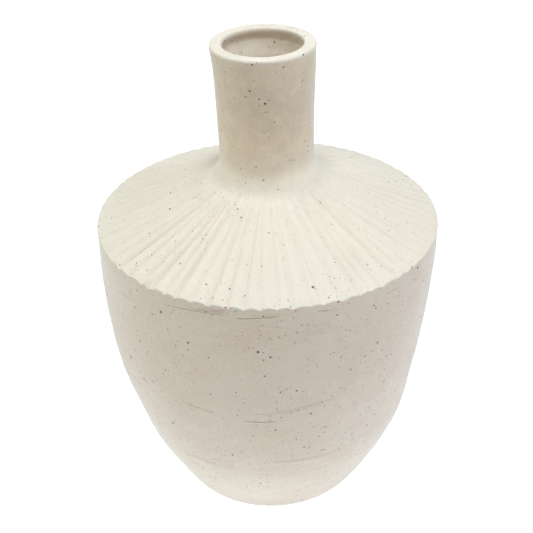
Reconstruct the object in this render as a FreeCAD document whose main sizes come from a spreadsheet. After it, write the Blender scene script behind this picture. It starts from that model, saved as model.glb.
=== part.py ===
import FreeCAD, Part
import math
import os
import Sketcher

# A stoneware vase, about 320 mm tall: a shouldered body with a fluted, shallow-cone shoulder and a tall neck.
# It is built from the pieces that a potter makes apart and lutes together while leather-hard. Each one is
# turned about +Z. The origin is the centre of the foot, on the surface that the vase stands on.
# Every length is in millimetres. "radius" is a distance from the axis, "height" one above the foot.

SIZES = {
    # outside of the body, as the radius and height of each station of the potter's template
    "foot_round": 0.9,
    "foot_round_radius": 64.59,
    "foot_round_run": 1.2,
    "slab_edge_radius": 69.94,
    "foot_seam_radius": 95.19,
    "foot_seam_height": 64.0,
    "knuckle_radius": 99.49,
    "knuckle_height": 80.0,
    "seam_radius": 106.38,
    "seam_height": 116.0,
    "shoulder_radius": 112.0,
    "belly_height": 190.0,
    "lower_curve": 230.0,
    "upper_curve": 490.0,
    # inside of the body
    "inner_foot_radius": 60.64,
    "inner_corner_radius": 66.53,
    "inner_corner_height": 22.0,
    "inner_foot_seam_radius": 85.34,
    "inner_knuckle_radius": 90.3,
    "inner_seam_radius": 98.3,
    "inner_shoulder_radius": 104.0,
    "inner_shoulder_height": 182.0,
    "inner_lower_curve": 260.0,
    "inner_upper_curve": 385.0,
    "seam_ridge": 3.0,
    # floor slab, with a spigot that the wall stands around and a turned recess under it
    "slab_height": 9.0,
    "floor_height": 12.0,
    "recess_radius": 52.0,
    "recess_depth": 2.5,
    # shoulder: a cone slab that rises to the neck, seated on the wall's rim
    "rim_height": 194.0,
    "edge_height": 201.2,
    "edge_round": 0.9,
    "edge_curve": 1.1,
    "shoulder_slope": 0.4,
    "shoulder_thickness": 8.6,
    "spigot_depth": 3.0,
    "spigot_width": 6.0,
    "hub_height": 221.5,
    "neck_seat_height": 229.0,
    # flutes, cut from the shoulder's edge towards the neck
    "flute_count": 70,
    "flute_depth": 1.7,
    "flute_width": 9.4,
    "flute_end_radius": 43.5,
    "flute_end_depth": 0.4,
    "flute_end_width": 3.5,
    "flute_overrun": 2.0,
    # neck and lip
    "bore_radius": 24.5,
    "neck_foot_radius": 30.2,
    "neck_waist_height": 250.0,
    "neck_top_radius": 32.2,
    "neck_top_height": 312.5,
    "neck_flare": 977.0,
    "neck_ridge": 1.5,
    "lip_radius": 33.0,
    "lip_widest_height": 319.2,
    "lip_swell": 24.0,
    "lip_outer_round": 1.8,
    "lip_inner_round": 1.6,
    "vase_height": 321.0,
    # seam coils, each pressed into a corner and smoothed to a hollow curve
    "neck_coil_curve": 20.0,
    "shoulder_coil_reach": 8.0,
    "floor_coil_reach": 10.0,
    "inner_coil_curve": 18.0,
}


class Size:
    """A length that knows its value and the sheet expression it comes from."""

    def __init__(self, value, text):
        self.value = value
        self.text = text

    def combine(self, other, sign, result):
        text = other.text if isinstance(other, Size) else repr(other)
        return Size(result, f"({self.text} {sign} {text})")

    def __add__(self, other):
        return self.combine(other, "+", self.value + number(other))

    def __sub__(self, other):
        return self.combine(other, "-", self.value - number(other))

    def __mul__(self, other):
        return self.combine(other, "*", self.value * number(other))

    def __truediv__(self, other):
        return self.combine(other, "/", self.value / number(other))


def number(length):
    return length.value if isinstance(length, Size) else length


def root_of(length):
    return Size(math.sqrt(length.value), f"sqrt({length.text})")


doc = FreeCAD.newDocument("vase")
sheet = doc.addObject("Spreadsheet::Sheet", "dims")
for row, (alias, value) in enumerate(SIZES.items(), start=1):
    sheet.set(f"A{row}", alias)
    sheet.set(f"B{row}", str(value))
    sheet.setAlias(f"B{row}", alias)
doc.recompute()


def dim(alias):
    return Size(float(SIZES[alias]), f"dims.{alias}")


class Arc:
    """A round stretch of an outline: its radius, and whether its centre is to the left of the way it runs."""

    def __init__(self, radius, left):
        self.radius = radius
        self.left = left


def arc_curve(start, end, arc):
    """The arc from start to end, and the sketch's numbers for its first and last points."""
    a = FreeCAD.Vector(start[0].value, start[1].value, 0)
    b = FreeCAD.Vector(end[0].value, end[1].value, 0)
    half = (b - a).Length / 2
    across = FreeCAD.Vector(a.y - b.y, b.x - a.x, 0).normalize()
    side = 1 if arc.left else -1
    centre = (a + b) / 2 + across * side * math.sqrt(arc.radius.value**2 - half**2)
    circle = Part.Circle(centre, FreeCAD.Vector(0, 0, 1), arc.radius.value)
    first, last = (a, b) if arc.left else (b, a)
    from_angle = math.atan2(first.y - centre.y, first.x - centre.x)
    to_angle = math.atan2(last.y - centre.y, last.x - centre.x)
    return Part.ArcOfCircle(circle, from_angle, to_angle), (1, 2) if arc.left else (2, 1)


def bind(sketch, kind, where, length):
    """One dimension of the sketch, tied to its cells."""
    index = sketch.addConstraint(Sketcher.Constraint(kind, *where, length.value))
    sketch.setExpression(f"Constraints[{index}]", length.text)


def draw_outline(sketch, steps):
    """A closed outline. steps holds its corners in order, each a pair of lengths, with an Arc between the two
    corners that it joins and nothing between corners joined by a straight line."""
    corners = [step for step in steps if not isinstance(step, Arc)]
    edges = []
    for step in steps:
        if isinstance(step, Arc):
            edges[-1] = step
        else:
            edges.append(None)
    ends = []
    for place, edge in enumerate(edges):
        start, end = corners[place], corners[(place + 1) % len(corners)]
        if edge is None:
            a = FreeCAD.Vector(start[0].value, start[1].value, 0)
            b = FreeCAD.Vector(end[0].value, end[1].value, 0)
            curve, points = Part.LineSegment(a, b), (1, 2)
        else:
            curve, points = arc_curve(start, end, edge)
        ends.append((sketch.addGeometry(curve), points))
    for place, (geometry, points) in enumerate(ends):
        following, next_points = ends[(place + 1) % len(ends)]
        sketch.addConstraint(
            Sketcher.Constraint("Coincident", geometry, points[1], following, next_points[0])
        )
        bind(sketch, "DistanceX", (geometry, points[0]), corners[place][0])
        bind(sketch, "DistanceY", (geometry, points[0]), corners[place][1])
        if edges[place] is not None:
            bind(sketch, "Radius", (geometry,), edges[place].radius)


def plane_of(body, role):
    return next(f for f in body.Origin.OriginFeatures if f.Role == role)


def new_sketch(body, name, role):
    sketch = body.newObject("Sketcher::SketchObject", name)
    sketch.AttachmentSupport = [(plane_of(body, role), "")]
    sketch.MapMode = "FlatFace"
    return sketch


def turned_body(label, steps):
    """A body turned about +Z from the outline of its section."""
    body = doc.addObject("PartDesign::Body", label)
    body.Label = label
    sketch = new_sketch(body, f"{label}_section", "XZ_Plane")
    draw_outline(sketch, steps)
    turn = body.newObject("PartDesign::Revolution", f"{label}_turn")
    turn.Profile = sketch
    turn.ReferenceAxis = (sketch, ["V_Axis"])
    turn.Angle = 360.0
    body.Tip = turn
    return body


AXIS = Size(0.0, "0")
GROUND = Size(0.0, "0")


def shoulder_top(radius):
    """Height of the shoulder's cone at a radius."""
    return dim("edge_height") + dim("shoulder_slope") * (dim("shoulder_radius") - radius)


def shoulder_radius_at(height):
    """Radius at which the shoulder's cone reaches a height."""
    return dim("shoulder_radius") - (height - dim("edge_height")) / dim("shoulder_slope")


def tangent_radius(run, rise):
    """Radius of the arc that leaves a flat along it and ends run further on and rise above."""
    return (run * run + rise * rise) / (rise * 2)


def make_floor_slab():
    round_end = dim("foot_round_radius")
    round_start = round_end - dim("foot_round_run")
    return turned_body(
        "floor_slab",
        [
            (AXIS, dim("recess_depth")),
            (dim("recess_radius") - dim("recess_depth"), dim("recess_depth")),
            (dim("recess_radius"), GROUND),
            (round_start, GROUND),
            Arc(tangent_radius(dim("foot_round_run"), dim("foot_round")), True),
            (round_end, dim("foot_round")),
            Arc(dim("lower_curve"), True),
            (dim("slab_edge_radius"), dim("slab_height")),
            (dim("inner_foot_radius"), dim("slab_height")),
            (dim("inner_foot_radius"), dim("floor_height")),
            (AXIS, dim("floor_height")),
        ],
    )


def seam_ridge(radius, height):
    """Crest of the ridge that one wall section's rim is bevelled to, half way through the clay."""
    middle = (dim(radius) + dim(f"inner_{radius}")) / 2
    return (middle, dim(height) + dim("seam_ridge"))


def make_foot_wall():
    return turned_body(
        "foot_wall",
        [
            (dim("slab_edge_radius"), dim("slab_height")),
            Arc(dim("lower_curve"), True),
            (dim("foot_seam_radius"), dim("foot_seam_height")),
            seam_ridge("foot_seam_radius", "foot_seam_height"),
            (dim("inner_foot_seam_radius"), dim("foot_seam_height")),
            Arc(dim("inner_lower_curve"), False),
            (dim("inner_corner_radius"), dim("inner_corner_height")),
            Arc(dim("inner_lower_curve"), False),
            (dim("inner_foot_radius"), dim("floor_height")),
            (dim("inner_foot_radius"), dim("slab_height")),
        ],
    )


def make_belly_wall():
    return turned_body(
        "belly_wall",
        [
            (dim("inner_foot_seam_radius"), dim("foot_seam_height")),
            seam_ridge("foot_seam_radius", "foot_seam_height"),
            (dim("foot_seam_radius"), dim("foot_seam_height")),
            Arc(dim("lower_curve"), True),
            (dim("knuckle_radius"), dim("knuckle_height")),
            Arc(dim("upper_curve"), True),
            (dim("seam_radius"), dim("seam_height")),
            seam_ridge("seam_radius", "seam_height"),
            (dim("inner_seam_radius"), dim("seam_height")),
            Arc(dim("inner_upper_curve"), False),
            (dim("inner_knuckle_radius"), dim("knuckle_height")),
            Arc(dim("inner_lower_curve"), False),
        ],
    )


def make_upper_wall():
    return turned_body(
        "upper_wall",
        [
            (dim("inner_seam_radius"), dim("seam_height")),
            seam_ridge("seam_radius", "seam_height"),
            (dim("seam_radius"), dim("seam_height")),
            Arc(dim("upper_curve"), True),
            (dim("shoulder_radius"), dim("belly_height")),
            (dim("shoulder_radius"), dim("rim_height")),
            (dim("inner_shoulder_radius"), dim("rim_height")),
            (dim("inner_shoulder_radius"), dim("inner_shoulder_height")),
            Arc(dim("inner_upper_curve"), False),
        ],
    )


def draw_flute(body, name, radius, depth, width):
    """The section of one flute, square to it: two ridges' rounded flanks that meet in a sharp valley."""
    sketch = new_sketch(body, name, "YZ_Plane")
    sketch.setExpression(".AttachmentOffset.Base.z", radius.text)
    top = shoulder_top(radius)
    half = width / 2
    flank = (half * half + depth * depth) / (depth * 2)
    clear = top + dim("flute_overrun")
    draw_outline(
        sketch,
        [
            (AXIS - half, top),
            Arc(flank, False),
            (AXIS, top - depth),
            Arc(flank, False),
            (half, top),
            (half, clear),
            (AXIS - half, clear),
        ],
    )
    return sketch


def make_shoulder_disc():
    spigot_inner = dim("inner_shoulder_radius") - dim("spigot_width")
    hub_radius = shoulder_radius_at(dim("hub_height") + dim("shoulder_thickness"))
    edge_back = dim("shoulder_radius") - dim("edge_round")
    body = turned_body(
        "shoulder_disc",
        [
            (dim("shoulder_radius"), dim("rim_height")),
            (dim("shoulder_radius"), dim("edge_height") - dim("edge_round")),
            Arc(dim("edge_curve"), True),
            (edge_back, shoulder_top(edge_back)),
            (dim("neck_foot_radius"), shoulder_top(dim("neck_foot_radius"))),
            (dim("neck_foot_radius"), dim("neck_seat_height")),
            (dim("bore_radius"), dim("neck_seat_height")),
            (dim("bore_radius"), dim("hub_height")),
            (hub_radius, dim("hub_height")),
            (spigot_inner, shoulder_top(spigot_inner) - dim("shoulder_thickness")),
            (spigot_inner, dim("rim_height") - dim("spigot_depth")),
            (dim("inner_shoulder_radius"), dim("rim_height") - dim("spigot_depth")),
            (dim("inner_shoulder_radius"), dim("rim_height")),
        ],
    )
    outer = draw_flute(
        body,
        "flute_at_edge",
        dim("shoulder_radius") + dim("flute_overrun"),
        dim("flute_depth"),
        dim("flute_width"),
    )
    inner = draw_flute(
        body,
        "flute_at_neck",
        dim("flute_end_radius"),
        dim("flute_end_depth"),
        dim("flute_end_width"),
    )
    doc.recompute()
    flute = body.newObject("PartDesign::SubtractiveLoft", "flute")
    flute.Profile = outer
    flute.Sections = [inner]
    flute.Ruled = True
    body.Tip = flute
    doc.recompute()
    flutes = body.newObject("PartDesign::PolarPattern", "flutes")
    flutes.Originals = [flute]
    flutes.Axis = (plane_of(body, "Z_Axis"), [""])
    flutes.Angle = 360.0
    flutes.setExpression("Occurrences", "dims.flute_count")
    body.Tip = flutes
    return body


def make_neck_tube():
    ridge_radius = (dim("neck_top_radius") + dim("bore_radius")) / 2
    return turned_body(
        "neck_tube",
        [
            (dim("neck_foot_radius"), dim("neck_seat_height")),
            (dim("neck_foot_radius"), dim("neck_waist_height")),
            Arc(dim("neck_flare"), False),
            (dim("neck_top_radius"), dim("neck_top_height")),
            (ridge_radius, dim("neck_top_height") + dim("neck_ridge")),
            (dim("bore_radius"), dim("neck_top_height")),
            (dim("bore_radius"), dim("neck_seat_height")),
        ],
    )


def make_lip_coil():
    ridge_radius = (dim("neck_top_radius") + dim("bore_radius")) / 2
    return turned_body(
        "lip_coil",
        [
            (dim("bore_radius"), dim("neck_top_height")),
            (ridge_radius, dim("neck_top_height") + dim("neck_ridge")),
            (dim("neck_top_radius"), dim("neck_top_height")),
            Arc(dim("lip_swell"), True),
            (dim("lip_radius"), dim("lip_widest_height")),
            Arc(dim("lip_outer_round"), True),
            (dim("lip_radius") - dim("lip_outer_round"), dim("vase_height")),
            (dim("bore_radius") + dim("lip_inner_round"), dim("vase_height")),
            Arc(dim("lip_inner_round"), True),
            (dim("bore_radius"), dim("vase_height") - dim("lip_inner_round")),
        ],
    )


def make_neck_seam_coil():
    # The hollow curve is tangent to the neck and to the cone, so both ends are one tangent length from their corner.
    slope = dim("shoulder_slope")
    rise_length = root_of(slope * slope + 1.0)
    tangent = dim("neck_coil_curve") * (rise_length - slope)
    foot = dim("neck_foot_radius")
    outer = foot + tangent / rise_length
    return turned_body(
        "neck_seam_coil",
        [
            (foot, shoulder_top(foot)),
            (outer, shoulder_top(outer)),
            Arc(dim("neck_coil_curve"), False),
            (foot, shoulder_top(foot) + tangent),
        ],
    )


def make_shoulder_seam_coil():
    top = dim("rim_height") - dim("spigot_depth")
    corner = dim("inner_shoulder_radius")
    reach = dim("shoulder_coil_reach")
    return turned_body(
        "shoulder_seam_coil",
        [
            (corner, top),
            (corner - reach, top),
            Arc(dim("inner_coil_curve"), False),
            (corner, top - reach),
        ],
    )


def make_floor_seam_coil():
    return turned_body(
        "floor_seam_coil",
        [
            (dim("inner_foot_radius"), dim("floor_height")),
            Arc(dim("inner_lower_curve"), True),
            (dim("inner_corner_radius"), dim("inner_corner_height")),
            Arc(dim("inner_coil_curve"), True),
            (dim("inner_foot_radius") - dim("floor_coil_reach"), dim("floor_height")),
        ],
    )


bodies = [
    make_floor_slab(),
    make_floor_seam_coil(),
    make_foot_wall(),
    make_belly_wall(),
    make_upper_wall(),
    make_shoulder_seam_coil(),
    make_shoulder_disc(),
    make_neck_seam_coil(),
    make_neck_tube(),
    make_lip_coil(),
]
doc.recompute()

for item in doc.Objects:
    if "Invalid" in item.State or "Error" in item.State:
        raise RuntimeError(f"{item.Label} failed: {item.State}")
for body in bodies:
    if body.Shape.isNull() or not body.Shape.isValid():
        raise RuntimeError(f"{body.Label} has no valid shape")

os.makedirs("parts", exist_ok=True)
for body in bodies:
    body.Shape.exportStep(f"parts/{body.Label}.step")
    box = body.Shape.optimalBoundingBox()
    centilitres = body.Shape.Volume / 1e4
    print(f"{body.Label}: {centilitres:.2f} cl, r {box.XMax:.2f}, z {box.ZMin:.2f} to {box.ZMax:.2f}")
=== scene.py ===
import math

import bpy
import numpy as np
from mathutils import Matrix, Vector


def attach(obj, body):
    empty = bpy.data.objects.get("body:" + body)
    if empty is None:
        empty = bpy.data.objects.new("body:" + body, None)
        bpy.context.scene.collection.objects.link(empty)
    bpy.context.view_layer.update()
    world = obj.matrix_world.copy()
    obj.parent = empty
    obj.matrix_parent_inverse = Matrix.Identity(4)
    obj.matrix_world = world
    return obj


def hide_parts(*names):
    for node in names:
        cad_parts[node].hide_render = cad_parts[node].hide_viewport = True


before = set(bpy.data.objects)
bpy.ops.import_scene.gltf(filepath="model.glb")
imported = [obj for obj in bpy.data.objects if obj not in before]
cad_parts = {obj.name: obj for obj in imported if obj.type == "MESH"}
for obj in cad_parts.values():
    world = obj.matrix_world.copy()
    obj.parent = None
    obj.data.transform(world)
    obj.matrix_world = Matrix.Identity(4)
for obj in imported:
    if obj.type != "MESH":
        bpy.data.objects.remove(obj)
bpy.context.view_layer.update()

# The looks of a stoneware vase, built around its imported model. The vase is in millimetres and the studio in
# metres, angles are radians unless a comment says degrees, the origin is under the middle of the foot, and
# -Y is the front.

MM = 0.001
TURN = 2 * math.pi
FRONT = -math.pi / 2


# ---------------------------------------------------------------- sizes of the vase

# foot and floor
FOOT_ROUND_RADIUS = 64.59
FOOT_ROUND_HEIGHT = 0.9
FOOT_ROUND_RISE = (0.0, 0.07, 0.18, 0.33, 0.5, 0.7)
FOOT_CONTACT_RADIUS = 63.39
FOOT_FLARE = 0.8
RECESS_RADIUS = 52.0
RECESS_DEPTH = 2.5
SLAB_HEIGHT = 9.0
FLOOR_HEIGHT = 12.0
# wall: the seams between its sections
FOOT_SEAM_HEIGHT = 64.0
SEAM_HEIGHT = 116.0
SEAM_RIDGE = 3.0
# the template's two arcs meet at the knuckle: radius, the centre's distance from the axis, and its height.
# The upper arc's centre is level with BELLY_HEIGHT, and above that the template is straight.
KNUCKLE_HEIGHT = 80.0
LOWER_ARC = 230.0
LOWER_ARC_CENTRE = -124.64
LOWER_ARC_HEIGHT = 131.63
UPPER_ARC = 490.0
UPPER_ARC_CENTRE = -378.0
BELLY_HEIGHT = 190.0
RIM_HEIGHT = 194.0
# inside
INNER_FOOT_RADIUS = 60.64
INNER_CORNER_RADIUS = 66.53
INNER_CORNER_HEIGHT = 22.0
INNER_SHOULDER_HEIGHT = 182.0
SHOULDER_COIL_REACH = 8.0
FLOOR_COIL_REACH = 10.0
# shoulder: its edge, its cone, and the spigot that sits in the wall
EDGE_HEIGHT = 201.2
EDGE_RADIUS = 112.0
EDGE_CREST = 0.4
EDGE_ROUND = 0.9
EDGE_ROUND_RUN = 1.35
EDGE_ROUND_TURNS = (0.3, 0.65, 1.0, 1.3)
EDGE_BLEND = 5.0
SHOULDER_SLOPE = 0.4
SHOULDER_THICKNESS = 8.6
SPIGOT_DEPTH = 3.0
SPIGOT_OUTER_RADIUS = 104.0
SPIGOT_INNER_RADIUS = 98.0
HUB_HEIGHT = 221.5
# neck
NECK_SEAT_HEIGHT = 229.0
NECK_FOOT_RADIUS = 30.2
BORE_RADIUS = 24.5
NECK_WAIST_HEIGHT = 250.0
NECK_FLARE = 977.0
NECK_TOP_HEIGHT = 312.5
NECK_RIDGE = 1.5
# lip
LIP_RADIUS = 33.0
LIP_TOP_HEIGHT = 320.75
LIP_DIP = 0.288
LIP_OUTER_ROUND = 1.2
LIP_OUTER_ROUND_RISE = 1.5
LIP_INNER_ROUND = 1.3
LIP_INNER_ROUND_RISE = 1.82
LIP_MOUTH_RADIUS = 25.0

# how far the hand-thrown form leans to the right of its axis, as height and sideways shift
LEAN = (
    (0.0, 0.5), (18.0, 0.6), (45.0, -0.1), (66.0, 0.2), (80.0, -0.3), (100.0, -1.4), (125.0, -1.4),
    (150.0, -1.1), (165.0, -0.7), (180.0, -0.2), (190.0, 0.0), (215.0, 0.0), (235.0, 0.1), (252.0, 0.4),
    (262.0, 0.2), (275.0, -0.1), (295.0, -0.1), (305.0, -0.1), (314.0, -0.7), (321.0, -1.0),
)


def smooth(value, low, high):
    """Rises smoothly from 0 at low to 1 at high."""
    t = np.clip((value - low) / (high - low), 0.0, 1.0)
    return t * t * (3 - 2 * t)


def bell(value, middle, spread):
    """1 at the middle, fading to both sides."""
    return np.exp(-(((value - middle) / spread) ** 2))


def wrapped(angle):
    """The same direction between half a turn to either side."""
    return (angle + math.pi) % TURN - math.pi


def lean(z):
    """How far the form stands to the right of its axis."""
    stations, shifts = zip(*LEAN)
    return np.interp(z, stations, shifts)


class Wander:
    """A smooth random relief on a turned surface of some radius, from waves that close up around the axis.
    height is how much it rises and falls, length the size of its features, and stretch how much longer they
    are around than up."""

    WAVES = 28

    def __init__(self, seed, height, length, radius, stretch=1.0):
        rng = np.random.default_rng(seed)
        heading = rng.uniform(0, TURN, self.WAVES)
        number = TURN / (length * rng.uniform(0.7, 1.7, self.WAVES))
        self.height = height
        self.around = np.rint(number * np.cos(heading) * radius / stretch)
        self.up = number * np.sin(heading)
        self.phase = rng.uniform(0, TURN, self.WAVES)

    def __call__(self, theta, z):
        total = 0.0
        for around, up, phase in zip(self.around, self.up, self.phase):
            total = total + np.cos(around * theta + up * z + phase)
        level = total * math.sqrt(2 / self.WAVES)
        return self.height * level


# ---------------------------------------------------------------- surface of the body

def wall_profile(z):
    """Radius of the potter's template outside."""
    low = LOWER_ARC_HEIGHT - np.minimum(z, KNUCKLE_HEIGHT)
    high = BELLY_HEIGHT - np.clip(z, KNUCKLE_HEIGHT, BELLY_HEIGHT)
    lower = LOWER_ARC_CENTRE + np.sqrt(LOWER_ARC**2 - low**2)
    upper = UPPER_ARC_CENTRE + np.sqrt(UPPER_ARC**2 - high**2)
    return np.where(z < KNUCKLE_HEIGHT, lower, upper) + FOOT_FLARE * smooth(z, 24.0, 4.0)


# the inside of the body, as height and radius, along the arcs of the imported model
INSIDE = (
    (9.0, 60.3), (22.0, 66.53), (43.0, 76.8), (64.0, 85.34), (80.0, 90.3), (98.0, 94.6), (116.0, 98.3),
    (138.0, 101.4), (160.0, 103.3), (182.0, 104.0), (194.0, 104.0),
)


def inner_profile(z):
    """Radius of the body's inside."""
    stations, radii = zip(*INSIDE)
    return np.interp(z, stations, radii)


class Scratch:
    """A cut in the wall: where it starts and ends, as degrees to the right of the front and height, its
    width and depth, the height of the burr beside it (below it when positive), how dark the painted shade
    in it is and how far it bows."""

    def __init__(self, start, end, width, depth, burr=0.0, dark=0.0, bow=0.0):
        self.start, self.end = start, end
        self.width, self.depth, self.burr, self.dark, self.bow = width, depth, burr, dark, bow

    def across(self, theta, z):
        """Distance above the cut's line, and how much of its strength is left towards its ends."""
        radius = float(wall_profile(np.array((self.start[1] + self.end[1]) / 2)))
        x = wrapped(theta - FRONT) * radius
        x0, y0 = math.radians(self.start[0]) * radius, self.start[1]
        x1, y1 = math.radians(self.end[0]) * radius, self.end[1]
        length = math.hypot(x1 - x0, y1 - y0)
        along = ((x - x0) * (x1 - x0) + (z - y0) * (y1 - y0)) / length
        above = ((z - y0) * (x1 - x0) - (x - x0) * (y1 - y0)) / length
        share = along / length
        tremble = 0.12 * np.sin(along / 2.3 + x0)
        above = above + self.bow * 4 * share * (1 - share) + tremble
        taper = smooth(share, -0.02, 0.10) * smooth(share, 1.02, 0.84)
        return above, taper

    def offset(self, theta, z):
        """How far the cut and its burr move the wall out."""
        above, taper = self.across(theta, z)
        groove = bell(above, 0.0, self.width)
        burr = bell(above, -np.sign(self.burr) * 1.7 * self.width, 1.1 * self.width)
        return taper * (abs(self.burr) * burr - self.depth * groove)

    def painted_shade(self, theta, z):
        """The painted shade in the cut, where shade would fall into it."""
        above, taper = self.across(theta, z)
        return self.dark * taper * bell(above, 0.0, 0.8 * self.width)


SCRATCHES = (
    # under the shoulder's edge, where the rim was luted to the wall
    Scratch((-34.5, 192.7), (-11.5, 194.9), 0.21, 0.45, 0.20, 0.50, -0.5),
    Scratch((-22.5, 196.6), (-12.6, 198.4), 0.19, 0.36, 0.20, 0.42),
    Scratch((-23.5, 195.3), (-12.8, 197.2), 0.19, 0.38, 0.20, 0.42),
    Scratch((-10.2, 193.7), (3.0, 195.4), 0.22, 0.60, 0.30, 0.85, 0.3),
    Scratch((-1.6, 195.9), (3.6, 196.6), 0.19, 0.25, 0.12, 0.20),
    Scratch((14.6, 196.1), (19.4, 195.2), 0.22, 0.45, 0.15, 0.40),
    Scratch((-56.5, 182.6), (-47.5, 184.4), 0.30, 0.32, 0.10, 0.24),
    Scratch((38.0, 193.0), (52.0, 194.4), 0.22, 0.25, 0.10, 0.16),
    # tool lines below it
    Scratch((9.0, 187.8), (19.5, 184.9), 0.45, 0.22, 0.10, 0.15),
    Scratch((-9.5, 189.3), (10.0, 186.3), 0.50, 0.16, 0.08, 0.10),
    Scratch((-12.0, 184.7), (10.5, 182.7), 0.50, 0.16, 0.08, 0.08),
    Scratch((8.0, 183.5), (21.0, 182.0), 0.50, 0.14, 0.08, 0.08),
    # around the seam at mid height
    Scratch((-31.5, 119.2), (-18.2, 116.0), 0.34, 0.38, 0.14, 0.24, 0.5),
    Scratch((-4.5, 119.6), (25.5, 126.0), 0.55, 0.22, -0.18, 0.12, -0.8),
    Scratch((-2.5, 118.0), (19.0, 122.6), 0.55, 0.18, -0.12, 0.08, -0.8),
    Scratch((-8.5, 112.1), (3.2, 112.5), 0.34, 0.42, 0.22, 0.28),
    Scratch((5.0, 115.0), (13.0, 117.2), 0.50, 0.14, -0.16, 0.05),
    # rings near the foot
    Scratch((-2.0, 71.6), (31.0, 69.9), 0.55, 0.26, 0.10, 0.14, -0.6),
    Scratch((-15.0, 57.6), (12.0, 55.3), 0.60, 0.24, 0.10, 0.12, 0.5),
    Scratch((-26.0, 64.4), (-13.6, 67.5), 0.50, 0.28, 0.10, 0.25),
    Scratch((-42.0, 61.0), (-20.0, 59.0), 0.60, 0.20, 0.08, 0.12),
    Scratch((10.0, 62.0), (40.0, 60.5), 0.60, 0.16, 0.08, 0.08),
    Scratch((-60.0, 84.0), (-46.0, 86.0), 0.50, 0.22, 0.08, 0.15),
    # the sides and the back
    Scratch((70.0, 150.0), (84.0, 152.5), 0.45, 0.30, 0.10, 0.25),
    Scratch((-118.0, 128.0), (-99.0, 126.0), 0.45, 0.35, 0.12, 0.30),
    Scratch((-172.0, 192.6), (-150.0, 194.2), 0.42, 0.50, 0.15, 0.40),
    Scratch((118.0, 193.6), (139.0, 192.2), 0.42, 0.45, 0.15, 0.40),
    Scratch((142.0, 118.0), (171.0, 116.2), 0.50, 0.40, 0.14, 0.30),
    Scratch((96.0, 72.0), (124.0, 70.0), 0.60, 0.28, 0.10, 0.18),
    Scratch((-150.0, 68.0), (-121.0, 70.5), 0.60, 0.28, 0.10, 0.18),
)

WALL_MEAN_RADIUS = 104.0
WALL_SWELL = Wander(1, 0.30, 95.0, WALL_MEAN_RADIUS, 1.3)
WALL_DENTS = Wander(2, 0.10, 30.0, WALL_MEAN_RADIUS, 1.8)
WALL_RIBBING = Wander(3, 0.050, 9.0, WALL_MEAN_RADIUS, 9.0)
WALL_COMBING = Wander(4, 0.035, 2.6, WALL_MEAN_RADIUS, 16.0)
WALL_SKIN = Wander(5, 0.022, 5.0, WALL_MEAN_RADIUS, 1.4)
# how much stronger or weaker the combing is from place to place
COMB_PATCHES = Wander(6, 0.7, 45.0, WALL_MEAN_RADIUS, 1.5)


def wall_offset(theta, z):
    """How far the thrown wall stands off its template."""
    below_rim = 1 - 0.85 * smooth(z, 150.0, 186.0)
    above_foot = smooth(z, -2.0, 26.0)
    offset = (WALL_SWELL(theta, z) + WALL_DENTS(theta, z)) * below_rim * (0.35 + 0.65 * above_foot)
    offset = offset + WALL_RIBBING(theta, z) * (0.5 + 0.5 * above_foot)
    combing = WALL_COMBING(theta, z) * np.clip(0.7 + COMB_PATCHES(theta, z), 0.15, 1.8)
    offset = offset + combing + WALL_SKIN(theta, z)
    for scratch in SCRATCHES:
        offset = offset + scratch.offset(theta, z)
    return offset


def wall_painted_shade(theta, z):
    """The painted shade in the wall's cuts."""
    total = np.zeros(np.broadcast(theta, z).shape)
    for scratch in SCRATCHES:
        total = np.maximum(total, scratch.painted_shade(theta, z))
    return total


def wall_radius(theta, z):
    """The outside of the wall. It never stands proud of the shoulder's edge."""
    return np.minimum(wall_profile(z) + wall_offset(theta, z), EDGE_RADIUS)


# ---------------------------------------------------------------- flutes of the shoulder

FLUTES = 70
# where the columns of one flute lie between its two valleys: close together beside the valleys
SHARES = np.array([0.0, 0.03, 0.065, 0.11, 0.17, 0.27, 0.40, 0.5, 0.60, 0.73, 0.83, 0.89, 0.935, 0.97])
FLUTE_DEPTH = 1.65
FLUTE_END_RADIUS = 40.0
# how deep the flutes are from the neck out to the edge, as radius and share of their depth
FLUTE_SWELL = ((32.0, 0.3), (40.0, 0.75), (60.0, 1.2), (92.0, 1.4), (104.0, 1.2), (EDGE_RADIUS, 0.82))
VALLEY_ROUND = 0.8
SPLIT_DEPTH = 0.32
SPLIT_WIDTH = 0.75
COMB_DEPTH = 0.055
# how dark the painted shade along the flutes' valleys is
FLUTE_PAINTED_SHADE = 0.09
# directions where the flutes are cut deeper, as turn from the front, spread and added strength
DEEPER_LEFT = (-0.82, 0.50, 0.95)
DEEPER_RIGHT = (0.7, 0.35, 0.30)


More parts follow.
